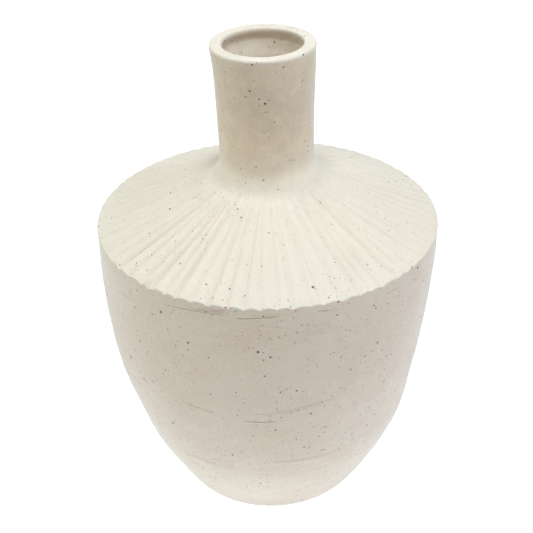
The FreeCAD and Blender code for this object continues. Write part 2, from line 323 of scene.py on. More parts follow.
class Flutes:
    """The hand-cut flutes: every valley has its own place, wander, depth and end."""

    def __init__(self, seed):
        rng = np.random.default_rng(seed)
        step = TURN / FLUTES
        self.place = FRONT + 0.4 * step + (np.arange(FLUTES) + rng.uniform(-0.22, 0.22, FLUTES)) * step
        self.drift = rng.uniform(-0.22, 0.22, FLUTES) * step
        self.sway = rng.uniform(-0.10, 0.10, FLUTES) * step
        turn = wrapped(self.place - FRONT)
        strength = 0.45
        for middle, spread, added in (DEEPER_LEFT, DEEPER_RIGHT):
            strength = strength + added * bell(turn, middle, spread)
        self.depth = FLUTE_DEPTH * strength * rng.uniform(0.75, 1.15, FLUTES)
        self.split = rng.uniform(-0.2, 1.0, FLUTES).clip(0, 1) * bell(turn, 0.0, 1.1)
        self.end = rng.uniform(32.0, 36.0, FLUTES)
        comb = rng.normal(0, 1, (3, FLUTES * len(SHARES)))
        self.comb = (np.roll(comb, 1, 1) + comb + np.roll(comb, -1, 1)) / 3
        index = np.arange(FLUTES * len(SHARES))
        self.left = index // len(SHARES)
        self.right = (self.left + 1) % FLUTES
        self.share = SHARES[index % len(SHARES)]
        self.near = np.where(self.share < 0.5, self.left, self.right)

    def valley(self, which, radius):
        """Angles of the valleys where they cross a radius."""
        run = (EDGE_RADIUS - radius) / (EDGE_RADIUS - FLUTE_END_RADIUS)
        return self.place[which] + self.drift[which] * run + self.sway[which] * np.sin(math.pi * run)

    def gap(self, radius):
        """Angle between the two valleys of each column's flute."""
        return (self.valley(self.right, radius) - self.valley(self.left, radius)) % TURN

    def angles(self, radius):
        """Angles of the columns where they cross a radius."""
        return self.valley(self.left, radius) + self.share * self.gap(radius)

    def depth_at(self, radius):
        """Depth of the valley that is nearest to each column."""
        fade = smooth(radius, self.end[self.near], self.end[self.near] + 8.0)
        stations, shares = zip(*FLUTE_SWELL)
        return self.depth[self.near] * fade * np.interp(radius, stations, shares)

    def height(self, radius):
        """Height of each column from the ridges, negative below them."""
        cell = self.gap(radius) * radius
        away = np.minimum(self.share, 1 - self.share) * cell
        rounded = np.hypot(away, VALLEY_ROUND) - VALLEY_ROUND
        half = np.hypot(cell / 2, VALLEY_ROUND) - VALLEY_ROUND
        x = 1 - rounded / half
        crease = bell((self.share - 0.5) * cell, 0.0, SPLIT_WIDTH) * self.split[self.left]
        crease = SPLIT_DEPTH * crease * smooth(radius, 50.0, 80.0) * smooth(radius, 111.0, 104.0)
        combed = self.comb[0] + self.comb[1] * np.cos(radius / 11.0) + self.comb[2] * np.sin(radius / 11.0)
        combed = COMB_DEPTH * combed * smooth(radius, 38.0, 60.0)
        return combed - crease - self.depth_at(radius) * (0.68 * x**2 + 0.32 * x**4)

    def painted_shade(self, radius):
        """How much painted shade lies along the valley, more where it is deeper; it also stands for the
        slightly darker clay in the valleys.
        """
        cell = self.gap(radius) * radius
        away = np.minimum(self.share, 1 - self.share) * cell
        held = np.clip(self.depth_at(radius) / FLUTE_DEPTH, 0.0, 1.9) ** 2
        return FLUTE_PAINTED_SHADE * held * bell(away, 0.0, 0.17 * cell)


FLUTE = Flutes(21)
EDGE_ANGLES = FLUTE.angles(EDGE_RADIUS)
SHOULDER_SWELL = Wander(7, 0.16, 60.0, 80.0)
SHOULDER_SKIN = Wander(8, 0.035, 7.0, 80.0)
EDGE_BURR = Wander(9, 0.09, 4.0, EDGE_RADIUS)
CHIP_ANGLE = FRONT + math.radians(-40.0)


def even_cone(radius):
    """Height of the shoulder's cone where it is true."""
    return EDGE_HEIGHT + SHOULDER_SLOPE * (EDGE_RADIUS - radius)


def cone_height(radius, theta):
    """The uneven cone that the flutes are cut into."""
    uneven = SHOULDER_SWELL(theta, radius) + SHOULDER_SKIN(theta, radius)
    return even_cone(radius) + uneven + edge_lift(theta) * (radius / EDGE_RADIUS) ** 2


def edge_lift(theta):
    """The shoulder sits a little higher at the back left."""
    return 0.45 * (1 + np.cos(theta - math.radians(145.0)))


def shoulder_top(radius, theta):
    """The shoulder's cone with its flutes, for the columns of the flutes."""
    return cone_height(radius, theta) + FLUTE.height(radius)


def scallop(theta):
    """How many times as deep the flutes bite into the edge as into the cone: most at the front."""
    return 1.1 + bell(wrapped(theta - FRONT), 0.05, 0.42)


def chip(theta):
    """A small chip in the edge, front left, with a tooth of clay beside it."""
    away = wrapped(theta - CHIP_ANGLE) * EDGE_RADIUS
    return -2.0 * bell(away, 0.0, 0.9) + 0.9 * bell(away, -2.0, 0.8)


def tooth(theta):
    """The clay pushed out beside the chip."""
    away = wrapped(theta - CHIP_ANGLE) * EDGE_RADIUS
    return 1.1 * bell(away, -1.6, 1.0)


# ---------------------------------------------------------------- surface of the neck

NECK_MEAN_RADIUS = 31.0
NECK_SWELL = Wander(10, 0.10, 50.0, NECK_MEAN_RADIUS)
NECK_RIBBING = Wander(11, 0.018, 7.0, NECK_MEAN_RADIUS, 5.0)
NECK_SCRAPING = Wander(16, 0.018, 12.0, NECK_MEAN_RADIUS, 0.2)
NECK_SKIN = Wander(12, 0.02, 4.0, NECK_MEAN_RADIUS)
LIP_RISE = Wander(13, 0.07, 45.0, NECK_MEAN_RADIUS)
LIP_SWELL = Wander(13, 0.10, 45.0, NECK_MEAN_RADIUS)
BORE_RIBBING = Wander(14, 0.07, 8.0, BORE_RADIUS + 0.5, 7.0)


def neck_flare(z):
    """How far the neck has opened out above its waist."""
    return np.maximum(z - NECK_WAIST_HEIGHT, 0) ** 2 / (2 * NECK_FLARE)


def neck_radius(theta, z):
    """The outside of the neck."""
    uneven = NECK_SWELL(theta, z) + NECK_RIBBING(theta, z) + NECK_SKIN(theta, z)
    uneven = uneven + NECK_SCRAPING(theta, z)
    return NECK_FOOT_RADIUS + neck_flare(z) + uneven + 0.08 * smooth(z, 262.0, 285.0)


def bore_radius(theta, z):
    """The inside of the neck. It opens out with the outside."""
    return BORE_RADIUS + 0.12 + neck_flare(z) + BORE_RIBBING(theta, z)


def lip_height(theta):
    """The top of the lip, which dips to the left."""
    return LIP_TOP_HEIGHT + LIP_DIP * (np.cos(theta) - 1) + LIP_RISE(theta, 0.0)


# ---------------------------------------------------------------- meshes

def even(start, end, step):
    """Stations from start to end, about step apart, both ends included."""
    return np.linspace(start, end, max(2, int(round(abs(end - start) / step)) + 1))


def heights(*spans):
    """Stations through spans of (start, end, step) that follow each other."""
    rows = [even(*span) for span in spans]
    return np.concatenate([rows[0]] + [row[1:] for row in rows[1:]])


class Section:
    """The stations of one piece, from the bottom up its outside and down its inside, over its columns."""

    def __init__(self, theta):
        self.theta = theta
        self.rows = []

    def add(self, radius, z, theta=None, painted_shade=0.0):
        """One station. The lean never carries it past the vase's left side."""
        theta = self.theta if theta is None else theta
        radius, z, painted_shade = (np.broadcast_to(v, theta.shape).astype(float) for v in (radius, z, painted_shade))
        x = np.maximum(radius * np.cos(theta) + lean(z), -EDGE_RADIUS)
        self.rows.append((np.stack([x, radius * np.sin(theta), z], -1), painted_shade))

    def outside(self, stations):
        """Stations on the outside of the wall."""
        for z in stations:
            z = np.full(self.theta.shape, z)
            self.add(wall_radius(self.theta, z), z, painted_shade=wall_painted_shade(self.theta, z))

    def inside(self, stations):
        """Stations on the inside of the wall, with the ripple of the potter's fingers."""
        for z in stations:
            ripple = 0.25 * np.cos(TURN * z / 7.5 + self.theta)
            ripple = ripple * smooth(z, 24.0, 40.0) * smooth(z, 180.0, 170.0)
            self.add(inner_profile(z) + ripple, z)

    def build(self, name, capped=False):
        """The piece, closed into a ring, or capped at both ends."""
        points = np.concatenate([row for row, _ in self.rows])
        painted_shade = np.concatenate([row for _, row in self.rows])
        count, columns = len(self.rows), len(self.theta)
        here = np.arange(columns)
        beside = np.roll(here, -1)
        lower = np.arange(count - 1 if capped else count)[:, None] * columns
        upper = (lower + columns) % (count * columns)
        corners = [lower + here, lower + beside, upper + beside, upper + here]
        faces = np.stack(corners, -1).reshape(-1, 4).tolist()
        if capped:
            last = (count - 1) * columns
            ends = [points[:columns].mean(0), points[last:].mean(0)]
            points = np.concatenate([points, ends])
            painted_shade = np.concatenate([painted_shade, [0.0, 0.0]])
            bottom, top = len(points) - 2, len(points) - 1
            faces += [[bottom, int(b), int(a)] for a, b in zip(here, beside)]
            faces += [[top, int(last + a), int(last + b)] for a, b in zip(here, beside)]
        return finished(name, points, faces, painted_shade)


def finished(name, points, faces, painted_shade):
    """A piece of the vase: its mesh, smooth except at real corners, with its painted shade and its material.
    """
    mesh = bpy.data.meshes.new(name)
    mesh.from_pydata((points * MM).tolist(), [], faces)
    mesh.validate()
    mesh.attributes.new("painted_shade", "FLOAT", "POINT").data.foreach_set("value", painted_shade.astype(np.float32))
    mesh.shade_smooth()
    mesh.set_sharp_from_angle(angle=math.radians(55))
    piece = bpy.data.objects.new(name, mesh)
    bpy.context.scene.collection.objects.link(piece)
    mesh.materials.append(STONEWARE)
    return piece


def ridge(section, height):
    """The top of the ridge where one wall section meets the next."""
    outer = wall_radius(section.theta, np.full(section.theta.shape, height))
    section.add((outer + inner_profile(height)) / 2, height + SEAM_RIDGE)


def make_floor_slab():
    """The floor, with the turned recess under it and the foot's rounded edge."""
    section = Section(EDGE_ANGLES)
    theta = section.theta
    # underneath: the turned recess, then the ring that the vase stands on
    dish = Wander(15, 0.04, 14.0, 40.0)
    for radius in even(3.0, RECESS_RADIUS - RECESS_DEPTH, 1.6):
        section.add(radius, RECESS_DEPTH + 0.05 * math.cos(radius * 2.4) + dish(theta, radius))
    for share in (0.3, 0.6, 0.85):
        section.add(RECESS_RADIUS - RECESS_DEPTH * (1 - share), RECESS_DEPTH * (1 - share**1.4))
    section.add(RECESS_RADIUS + 0.5, 0.12)
    section.add(RECESS_RADIUS + 1.3, 0.0)
    for radius in even(RECESS_RADIUS + 3, FOOT_CONTACT_RADIUS - 0.4, 1.6):
        section.add(radius, 0.0)
    # the foot's rounded edge and the slab's side
    run = FOOT_ROUND_RADIUS - FOOT_CONTACT_RADIUS
    outer = wall_radius(theta, np.full(theta.shape, FOOT_ROUND_HEIGHT))
    for z in FOOT_ROUND_RISE:
        share = math.sqrt(z / FOOT_ROUND_HEIGHT)
        section.add(outer - run * (1 - share), z)
    section.outside(even(FOOT_ROUND_HEIGHT, SLAB_HEIGHT, 0.9))
    # the floor inside, a step higher than where the wall stands
    section.add(INNER_FOOT_RADIUS, SLAB_HEIGHT)
    section.add(INNER_FOOT_RADIUS, FLOOR_HEIGHT)
    for radius in even(INNER_FOOT_RADIUS - 2, 3.0, 2.4):
        section.add(radius, FLOOR_HEIGHT - 0.12 + 0.1 * np.cos(radius * 0.9 + theta))
    return section.build("vase_floor", capped=True)


def make_foot_wall():
    """The lowest wall section, standing on the floor slab."""
    section = Section(EDGE_ANGLES)
    section.outside(heights((SLAB_HEIGHT, 50.0, 1.1), (50.0, FOOT_SEAM_HEIGHT, 0.6)))
    ridge(section, FOOT_SEAM_HEIGHT)
    corner = INNER_CORNER_HEIGHT
    section.inside(heights((FOOT_SEAM_HEIGHT, corner, 2.5), (corner, FLOOR_HEIGHT, 2.5)))
    section.add(INNER_FOOT_RADIUS, FLOOR_HEIGHT)
    section.add(INNER_FOOT_RADIUS, SLAB_HEIGHT)
    return section.build("vase_foot")


def make_belly_wall():
    """The middle wall section, between two ridges."""
    section = Section(EDGE_ANGLES)
    ridge(section, FOOT_SEAM_HEIGHT)
    section.outside(heights((FOOT_SEAM_HEIGHT, 74.0, 0.6), (74.0, 108.0, 1.2), (108.0, SEAM_HEIGHT, 0.5)))
    ridge(section, SEAM_HEIGHT)
    section.inside(even(SEAM_HEIGHT, FOOT_SEAM_HEIGHT, 2.5))
    return section.build("vase_belly")


def make_upper_wall():
    """The upper wall section, up to the rim that carries the shoulder."""
    section = Section(EDGE_ANGLES)
    ridge(section, SEAM_HEIGHT)
    plain = heights((SEAM_HEIGHT, 127.0, 0.55), (127.0, 181.0, 1.6))
    under_edge = heights((181.0, BELLY_HEIGHT, 0.5), (BELLY_HEIGHT, RIM_HEIGHT, 0.2))
    section.outside(np.concatenate([plain, under_edge[1:]]))
    section.add(SPIGOT_OUTER_RADIUS, RIM_HEIGHT)
    section.inside(even(INNER_SHOULDER_HEIGHT, SEAM_HEIGHT, 3.5))
    return section.build("vase_upper_wall")


def make_shoulder():
    """The fluted shoulder: up its side, over the edge, along the cone, then back under it to its spigot."""
    section = Section(EDGE_ANGLES)
    theta = section.theta
    edge = EDGE_HEIGHT + EDGE_CREST + scallop(theta) * FLUTE.height(EDGE_RADIUS)
    edge = edge + EDGE_BURR(theta, 0.0) + edge_lift(theta) + chip(theta)
    # up the side and around the edge
    side_top = edge - EDGE_ROUND
    # painted shade where the flutes' valleys reach the edge
    edge_painted_shade = FLUTE.painted_shade(EDGE_RADIUS)
    for share in even(0.0, 1.0, 1 / 30):
        z = RIM_HEIGHT + share * (side_top - RIM_HEIGHT)
        painted_shade = np.maximum(wall_painted_shade(theta, z), edge_painted_shade * smooth(share, 0.75, 1.0))
        section.add(wall_radius(theta, z) + tooth(theta) * smooth(share, 0.6, 1.0), z, painted_shade=painted_shade)
    brow = wall_radius(theta, side_top) + tooth(theta)
    last_turn = EDGE_ROUND_TURNS[-1]
    for turn in EDGE_ROUND_TURNS:
        lift = math.sin(turn) / math.sin(last_turn)
        back = (1 - math.cos(turn)) * EDGE_ROUND_RUN
        section.add(brow - back, side_top + EDGE_ROUND * lift, painted_shade=edge_painted_shade)
    # the cone and its flutes, which start level with the edge
    begin = EDGE_RADIUS - 1.8
    brow_back = brow - (1 - math.cos(last_turn)) * EDGE_ROUND_RUN
    for radius in heights((begin, 104.0, 0.8), (104.0, 60.0, 1.15), (60.0, 44.0, 1.0), (44.0, 36.0, 1.3)):
        angle = FLUTE.angles(radius)
        top = shoulder_top(radius, angle)
        near_edge = smooth(radius, begin - EDGE_BLEND, begin + 0.01)
        at_edge = edge + SHOULDER_SLOPE * (brow_back - radius)
        section.add(radius, top + near_edge * (at_edge - top), angle, FLUTE.painted_shade(radius))
    # the seat that the neck stands on
    flat = FLUTE.angles(36.0)
    section.add(NECK_FOOT_RADIUS, even_cone(NECK_FOOT_RADIUS) - 0.1, flat)
    section.add(NECK_FOOT_RADIUS, NECK_SEAT_HEIGHT, flat)
    section.add(BORE_RADIUS, NECK_SEAT_HEIGHT, flat)
    section.add(BORE_RADIUS, HUB_HEIGHT, flat)
    # back under the cone to the spigot that centres it in the wall
    hub = EDGE_RADIUS - (HUB_HEIGHT + SHOULDER_THICKNESS - EDGE_HEIGHT) / SHOULDER_SLOPE
    section.add(hub, HUB_HEIGHT, flat)
    for radius in even(hub + 4.0, SPIGOT_INNER_RADIUS, 4.5):
        section.add(radius, even_cone(radius) - SHOULDER_THICKNESS, FLUTE.angles(radius))
    section.add(SPIGOT_INNER_RADIUS, RIM_HEIGHT - SPIGOT_DEPTH)
    section.add(SPIGOT_OUTER_RADIUS, RIM_HEIGHT - SPIGOT_DEPTH)
    section.add(SPIGOT_OUTER_RADIUS, RIM_HEIGHT)
    return section.build("vase_shoulder")


def fillet_reach(theta):
    """How far the smoothed clay reaches along the cone and up the neck: more on the right and at the back."""
    bias = np.cos(theta - math.radians(20.0))
    return 10.8 + 3.4 * bias, 15.0 + 3.0 * bias


# how strongly the ends of the fillet's curve keep their directions
FILLET_PULL = 0.6


def make_neck_seam():
    """The coil smoothed into the corner of neck and shoulder."""
    # the radius at which each column leaves the cone
    run, _ = fillet_reach(FLUTE.angles(43.0))
    foot = NECK_FOOT_RADIUS + 0.2 + run
    theta = FLUTE.angles(foot)
    section = Section(theta)
    run, rise = fillet_reach(theta)
    start_z = cone_height(foot, theta)
    end_z = even_cone(NECK_FOOT_RADIUS) + rise
    end_r = neck_radius(theta, end_z)
    corner_z = start_z + SHOULDER_SLOPE * (foot - end_r)
    first_r = foot - FILLET_PULL * (foot - end_r)
    first_z = start_z + FILLET_PULL * (corner_z - start_z)
    second_z = end_z - FILLET_PULL * (end_z - corner_z)
    # underneath, then along a cubic curve from the cone up to the neck
    inner = NECK_FOOT_RADIUS - 0.6
    base = even_cone(inner) - 2.2
    section.add(inner, base)
    section.add((inner + foot) / 2, (base + start_z) / 2 - 1.6)
    section.add(foot - 0.4, start_z + FLUTE.height(foot) - 0.25)
    for t in even(0.0, 1.0, 1 / 34):
        s = 1 - t
        radius = s**3 * foot + 3 * s * s * t * first_r + 3 * s * t * t * end_r + t**3 * end_r
        z = s**3 * start_z + 3 * s * s * t * first_z + 3 * s * t * t * second_z + t**3 * end_z
        section.add(radius, z + FLUTE.height(radius), FLUTE.angles(radius))
    section.add(inner, end_z)
    return section.build("vase_neck_seam")


NECK_ANGLES = np.linspace(0, TURN, 480, endpoint=False)


def make_neck():
    """The neck, with the ridge on its top that the lip sits on."""
    section = Section(NECK_ANGLES)
    theta = section.theta
    for z in heights((NECK_SEAT_HEIGHT, 244.0, 5.0), (244.0, NECK_TOP_HEIGHT, 0.8)):
        section.add(neck_radius(theta, z), z)
    middle = (neck_radius(theta, NECK_TOP_HEIGHT) + bore_radius(theta, NECK_TOP_HEIGHT)) / 2
    section.add(middle, NECK_TOP_HEIGHT + NECK_RIDGE)
    for z in even(NECK_TOP_HEIGHT, NECK_SEAT_HEIGHT, 1.0):
        section.add(bore_radius(theta, z), z)
    return section.build("vase_neck")


def make_lip():
    """The lip: up its outside, over its flat top and down into the mouth."""
    section = Section(NECK_ANGLES)
    theta = section.theta
    start = neck_radius(theta, NECK_TOP_HEIGHT)
    top = lip_height(theta)
    crown = top - NECK_TOP_HEIGHT
    section.add((start + bore_radius(theta, NECK_TOP_HEIGHT)) / 2, NECK_TOP_HEIGHT + NECK_RIDGE)
    # the outside, and around the outer edge
    swell = LIP_SWELL(theta, 40.0)
    widest = LIP_RADIUS - 0.12 + swell
    for share in even(0.0, 1.0, 1 / 6):
        z = NECK_TOP_HEIGHT + share * (crown - LIP_OUTER_ROUND_RISE)
        section.add(start + (widest - start) * share**1.3, z)
    for turn in even(0.0, 1.0, 1 / 8)[1:]:
        back, drop = 1 - math.cos(turn * math.pi / 2), 1 - math.sin(turn * math.pi / 2)
        section.add(widest - LIP_OUTER_ROUND * back, top - LIP_OUTER_ROUND_RISE * drop)
    # over the top
    flat_start = widest - LIP_OUTER_ROUND
    flat_end = LIP_MOUTH_RADIUS + LIP_INNER_ROUND + 0.5 * swell
    for share in even(0.0, 1.0, 1 / 7)[1:]:
        dome = 0.10 * math.sin(math.pi * share)
        section.add(flat_start + share * (flat_end - flat_start), top + dome)
    # around the inner edge and down to the bore
    nose = flat_end - LIP_INNER_ROUND
    for turn in even(1.0, 0.0, 1 / 8)[1:]:
        back, drop = 1 - math.cos(turn * math.pi / 2), 1 - math.sin(turn * math.pi / 2)
        section.add(nose + LIP_INNER_ROUND * back, top - LIP_INNER_ROUND_RISE * drop)
    under = bore_radius(theta, NECK_TOP_HEIGHT)
    nose_z = top - LIP_INNER_ROUND_RISE
    for share in even(0.0, 1.0, 1 / 6)[1:]:
        z = nose_z + share * (NECK_TOP_HEIGHT - nose_z)
        section.add(nose + (under - nose) * smooth(share, 0.0, 1.0), z)
    return section.build("vase_lip")


def make_shoulder_seam():
    """The coil pressed into the corner under the shoulder, inside."""
    section = Section(NECK_ANGLES)
    top = RIM_HEIGHT - SPIGOT_DEPTH
    corner, reach = SPIGOT_OUTER_RADIUS, SHOULDER_COIL_REACH
    section.add(corner, top - reach)
    section.add(corner, top)
    section.add(corner - reach, top)
    for share in even(0.0, 1.0, 1 / 8)[1:-1]:
        bend = 0.35 * math.sin(math.pi * share) * reach
        hand = 0.15 * np.cos(31 * section.theta + 3 * share)
        section.add(corner - reach * (1 - share) + bend * 0.5 + hand, top - reach * share + bend * 0.5)
    return section.build("vase_shoulder_seam")


def make_floor_seam():
    """The coil pressed into the corner of wall and floor, inside."""
    section = Section(NECK_ANGLES)
    base = INNER_FOOT_RADIUS
    section.add(base - FLOOR_COIL_REACH, FLOOR_HEIGHT)
    section.add(base, FLOOR_HEIGHT)
    for z in even(FLOOR_HEIGHT, INNER_CORNER_HEIGHT, 2.5)[1:]:
        section.add(inner_profile(z), z)
    for share in even(0.0, 1.0, 1 / 8)[1:-1]:
        sag = 3.2 * math.sin(math.pi * share)
        radius = INNER_CORNER_RADIUS + share * (base - FLOOR_COIL_REACH - INNER_CORNER_RADIUS)
        z = INNER_CORNER_HEIGHT + share * (FLOOR_HEIGHT - INNER_CORNER_HEIGHT)
        hand = 0.15 * np.cos(29 * section.theta + 3 * share)
        section.add(radius + 0.55 * sag + hand, z - 0.83 * sag)
    return section.build("vase_floor_seam")


# ---------------------------------------------------------------- stoneware

class Nodes:
    """Short ways to add and join shader nodes."""

    def __init__(self, tree):
        self.tree = tree

    def add(self, kind, **settings):
        node = self.tree.nodes.new(kind)
        for name, value in settings.items():
            setattr(node, name, value)
        return node

    def feed(self, socket, value):
        if isinstance(value, bpy.types.NodeSocket):
            self.tree.links.new(value, socket)
        elif value is not None:
            socket.default_value = value

    def math(self, operation, *values, clamp=False):
        node = self.add("ShaderNodeMath", operation=operation, use_clamp=clamp)
        for socket, value in zip(node.inputs, values):
            self.feed(socket, value)
        return node.outputs[0]

    def vector(self, operation, *values):
        node = self.add("ShaderNodeVectorMath", operation=operation)
        for socket, value in zip(node.inputs, values):
            self.feed(socket, value)
        return node.outputs[0]

    def noise(self, where, size, detail=2.0, roughness=0.5):
        node = self.add("ShaderNodeTexNoise")
        self.feed(node.inputs["Vector"], where)
        node.inputs["Scale"].default_value = 1 / size
        node.inputs["Detail"].default_value = detail
        node.inputs["Roughness"].default_value = roughness
        return node.outputs

    def remap(self, value, from_low, from_high, to_low, to_high, curve="SMOOTHSTEP"):
        node = self.add("ShaderNodeMapRange", interpolation_type=curve)
        for socket, number in zip(node.inputs, (value, from_low, from_high, to_low, to_high)):
            self.feed(socket, number)
        return node.outputs[0]

    def band(self, value, low, full, still_full, high):
        """Rises from 0 to 1 between low and full, and falls back to 0 between still_full and high."""
        rise = self.remap(value, low, full, 0.0, 1.0)
        return self.math("MULTIPLY", rise, self.remap(value, high, still_full, 0.0, 1.0))

    def ramp(self, value, stops):
        """A colour ramp through stops of (position, colour)."""
        node = self.add("ShaderNodeValToRGB")
        elements = node.color_ramp.elements
        elements[0].position, elements[0].color = stops[0]
        elements[1].position, elements[1].color = stops[-1]
        for position, colour in stops[1:-1]:
            elements.new(position).color = colour
        self.feed(node.inputs[0], value)
        return node.outputs[0]

    def mix(self, share, first, second, blend="MIX"):
        node = self.add("ShaderNodeMix", data_type="RGBA", blend_type=blend)
        self.feed(node.inputs[0], share)
        self.feed(node.inputs[6], first)
        self.feed(node.inputs[7], second)
        return node.outputs[2]

    def cells(self, where, size, offset):
        """Distance in millimetres to scattered points about size apart, and three random numbers of each."""
        moved = self.vector("ADD", where, offset)
        node = self.add("ShaderNodeTexVoronoi")
        self.feed(node.inputs["Vector"], moved)
        node.inputs["Scale"].default_value = 1 / size
        parts = self.add("ShaderNodeSeparateColor")
        self.feed(parts.inputs[0], node.outputs["Color"])
        return self.math("MULTIPLY", node.outputs["Distance"], size), parts.outputs


# the clay's colours, tints that multiply them, painted light for the wall, the neck's foot and the bore, and
# the colour of the painted shade in cuts and valleys
CREAM = (0.845, 0.757, 0.652, 1.0)
CREAM_WARM = (0.815, 0.712, 0.598, 1.0)
CREAM_PALE = (0.865, 0.790, 0.692, 1.0)
CREAM_DUSKY = (0.800, 0.695, 0.585, 1.0)
# painted light inside the bore, paler than the clay elsewhere
BORE_PAINTED_LIGHT = (0.930, 0.825, 0.700, 1.0)
NECK_TINT = (0.985, 0.915, 0.835, 1.0)
# painted light bounced from the shoulder onto the neck's foot
NECK_FOOT_PAINTED_BOUNCE = (1.17, 1.17, 1.165, 1.0)
# painted warm light on the wall, as if bounced up onto it
WALL_PAINTED_WARM_LIGHT = (1.012, 0.952, 0.935, 1.0)
# the colour of the painted shade in the cuts and the flutes' valleys
PAINTED_SHADE_COLOUR = (0.30, 0.235, 0.18, 1.0)
# layers of iron specks: spacing, smallest and largest radius, share of points that show, darkness, shift
SPECK_LAYERS = (
    (8.2, 0.60, 1.05, 0.95, 0.95, (31.0, 7.0, 53.0)),
    (4.8, 0.46, 0.76, 1.00, 0.88, (3.0, 41.0, 17.0)),
    (3.3, 0.38, 0.62, 1.00, 0.70, (59.0, 23.0, 5.0)),
    (2.4, 0.28, 0.46, 0.80, 0.42, (11.0, 67.0, 29.0)),
)
# colours of the iron, from the darkest speck to the palest, as position and colour
IRON = (
    (0.0, (0.095, 0.040, 0.026, 1.0)),
    (0.55, (0.16, 0.075, 0.047, 1.0)),
    (0.78, (0.36, 0.13, 0.060, 1.0)),
    (1.0, (0.38, 0.24, 0.16, 1.0)),
)
SPECK_SOFTNESS = 0.26
SPECK_CROOKEDNESS = 0.55
PAINTED_SHADE_STRENGTH = 0.8
PEEL_HEIGHT = 0.050
TOOTH_HEIGHT = 0.030
PIN_HOLE_SPACING = 3.4
PIN_HOLE_RADIUS = 0.26
SPECK_SINK = 0.05


class Places:
    """Where on the vase a point lies: its height, and masks from 0 to 1 for parts of the vase and for where
    light and shade are painted.
    """

    def __init__(self, n, where):
        axes = n.add("ShaderNodeSeparateXYZ")
        n.feed(axes.inputs[0], where)
        self.up = axes.outputs[2]
        level = n.add("ShaderNodeCombineXYZ")
        n.feed(level.inputs[0], axes.outputs[0])
        n.feed(level.inputs[1], axes.outputs[1])
        length = n.add("ShaderNodeVectorMath", operation="LENGTH")
        n.feed(length.inputs[0], level.outputs[0])
        from_axis = length.outputs["Value"]
        self.shoulder = n.band(self.up, 200.0, 203.0, 228.0, 234.0)
        self.neck = n.band(self.up, 228.0, 268.0, 316.0, 320.0)
        # where the painted bounce light lies on the neck's foot
        self.neck_foot_bounce = n.band(self.up, 234.0, 242.0, 246.0, 296.0)
        # where the painted warm light lies on the wall, weaker near the foot
        self.wall = n.math("MULTIPLY", n.remap(self.up, 201.0, 198.5, 0.0, 1.0),
                           n.remap(self.up, 20.0, 130.0, 0.35, 1.0))
        self.bore = n.math("MULTIPLY", n.remap(from_axis, 28.4, 27.4, 0.0, 1.0),
                           n.band(self.up, 222.0, 226.0, 317.5, 319.5))
        # where painted shade lies on the shoulder beside the neck, as the pleats shade each other
        self.pleat_shade = n.math("MULTIPLY", n.band(from_axis, 37.0, 41.0, 47.0, 58.0), self.shoulder)


def clay_and_painted_light(n, where, places, grain):
    """The clay body: slow drifts of tone, finer mottling, dusky patches, a tone for the neck, and painted
    light and shade.
    """
    uneven = n.math("SUBTRACT", 1.0, n.math("MULTIPLY", places.shoulder, 0.6))
    drift = n.math("MULTIPLY", n.remap(n.noise(where, 55.0, 2.0)[0], 0.35, 0.65, -0.5, 0.5), uneven)
    colour = n.mix(n.math("ADD", n.math("MULTIPLY", drift, 0.75), 0.37), CREAM, CREAM_WARM)
    mottle = n.math("MULTIPLY", n.remap(n.noise(where, 9.0, 3.0, 0.6)[0], 0.45, 0.75, 0.0, 0.55), uneven)
    colour = n.mix(mottle, colour, CREAM_PALE)
    patch = n.math("MULTIPLY", n.remap(n.noise(where, 19.0, 2.0)[0], 0.5, 0.74, 0.0, 0.55), uneven)
    colour = n.mix(patch, colour, CREAM_DUSKY)
    colour = n.mix(places.neck, colour, NECK_TINT, "MULTIPLY")
    # painted light: warm light on the wall, light bounced from the shoulder onto the neck's foot, and a paler
    # bore
    colour = n.mix(places.wall, colour, WALL_PAINTED_WARM_LIGHT, "MULTIPLY")
    colour = n.mix(places.neck_foot_bounce, colour, NECK_FOOT_PAINTED_BOUNCE, "MULTIPLY")
    colour = n.mix(places.bore, colour, BORE_PAINTED_LIGHT)

    shade = n.remap(grain, 0.25, 0.75, 0.96, 1.035, "LINEAR")
    fine = n.remap(n.noise(where, 1.9, 2.0, 0.6)[0], 0.3, 0.7, -0.035, 0.030, "LINEAR")
    smudge = n.remap(n.noise(where, 8.0, 2.0, 0.6)[0], 0.35, 0.7, 0.04, -0.055, "LINEAR")
    # the last of these is painted shade on the shoulder beside the neck
    for change, place in ((fine, uneven), (smudge, places.neck), (-0.035, places.pleat_shade)):
        shade = n.math("MULTIPLY", shade, n.math("ADD", n.math("MULTIPLY", change, place), 1.0))
    return n.vector("SCALE", colour, None, None, shade)


def iron_specks(n, where, places, colour):
    """Specks of iron, crowded in some places and sparse in others: the colour with them, and their shape."""
    centred = n.vector("SUBTRACT", n.noise(where, 0.8, 1.0)[1], (0.5, 0.5, 0.5))
    crooked = n.vector("ADD", where, n.vector("SCALE", centred, None, None, SPECK_CROOKEDNESS))
    crowd = n.remap(n.noise(where, 22.0, 3.0)[0], 0.36, 0.64, 0.25, 1.5)
    crowd = n.math("MULTIPLY", crowd, n.remap(places.up, 198.0, 206.0, 1.0, 0.46))
    crowd = n.math("MULTIPLY", crowd, n.remap(places.up, 230.0, 246.0, 1.0, 0.80))
    crowd = n.math("MULTIPLY", crowd, n.remap(places.bore, 0.0, 1.0, 1.0, 3.0))
    shape = None
    for size, small, large, chance, dark, shift in SPECK_LAYERS:
        away, dice = n.cells(crooked, size, shift)
        radius = n.remap(n.math("POWER", dice[0], 1.6), 0.0, 1.0, small, large, "LINEAR")
        shown = n.math("LESS_THAN", dice[1], n.math("MULTIPLY", crowd, chance))
        inside = n.math("SUBTRACT", n.math("MULTIPLY", radius, shown), away)
        spot = n.math("DIVIDE", inside, SPECK_SOFTNESS, clamp=True)
        colour = n.mix(n.math("MULTIPLY", spot, dark), colour, n.ramp(dice[2], IRON))
        shape = spot if shape is None else n.math("MAXIMUM", shape, spot)
    return colour, shape


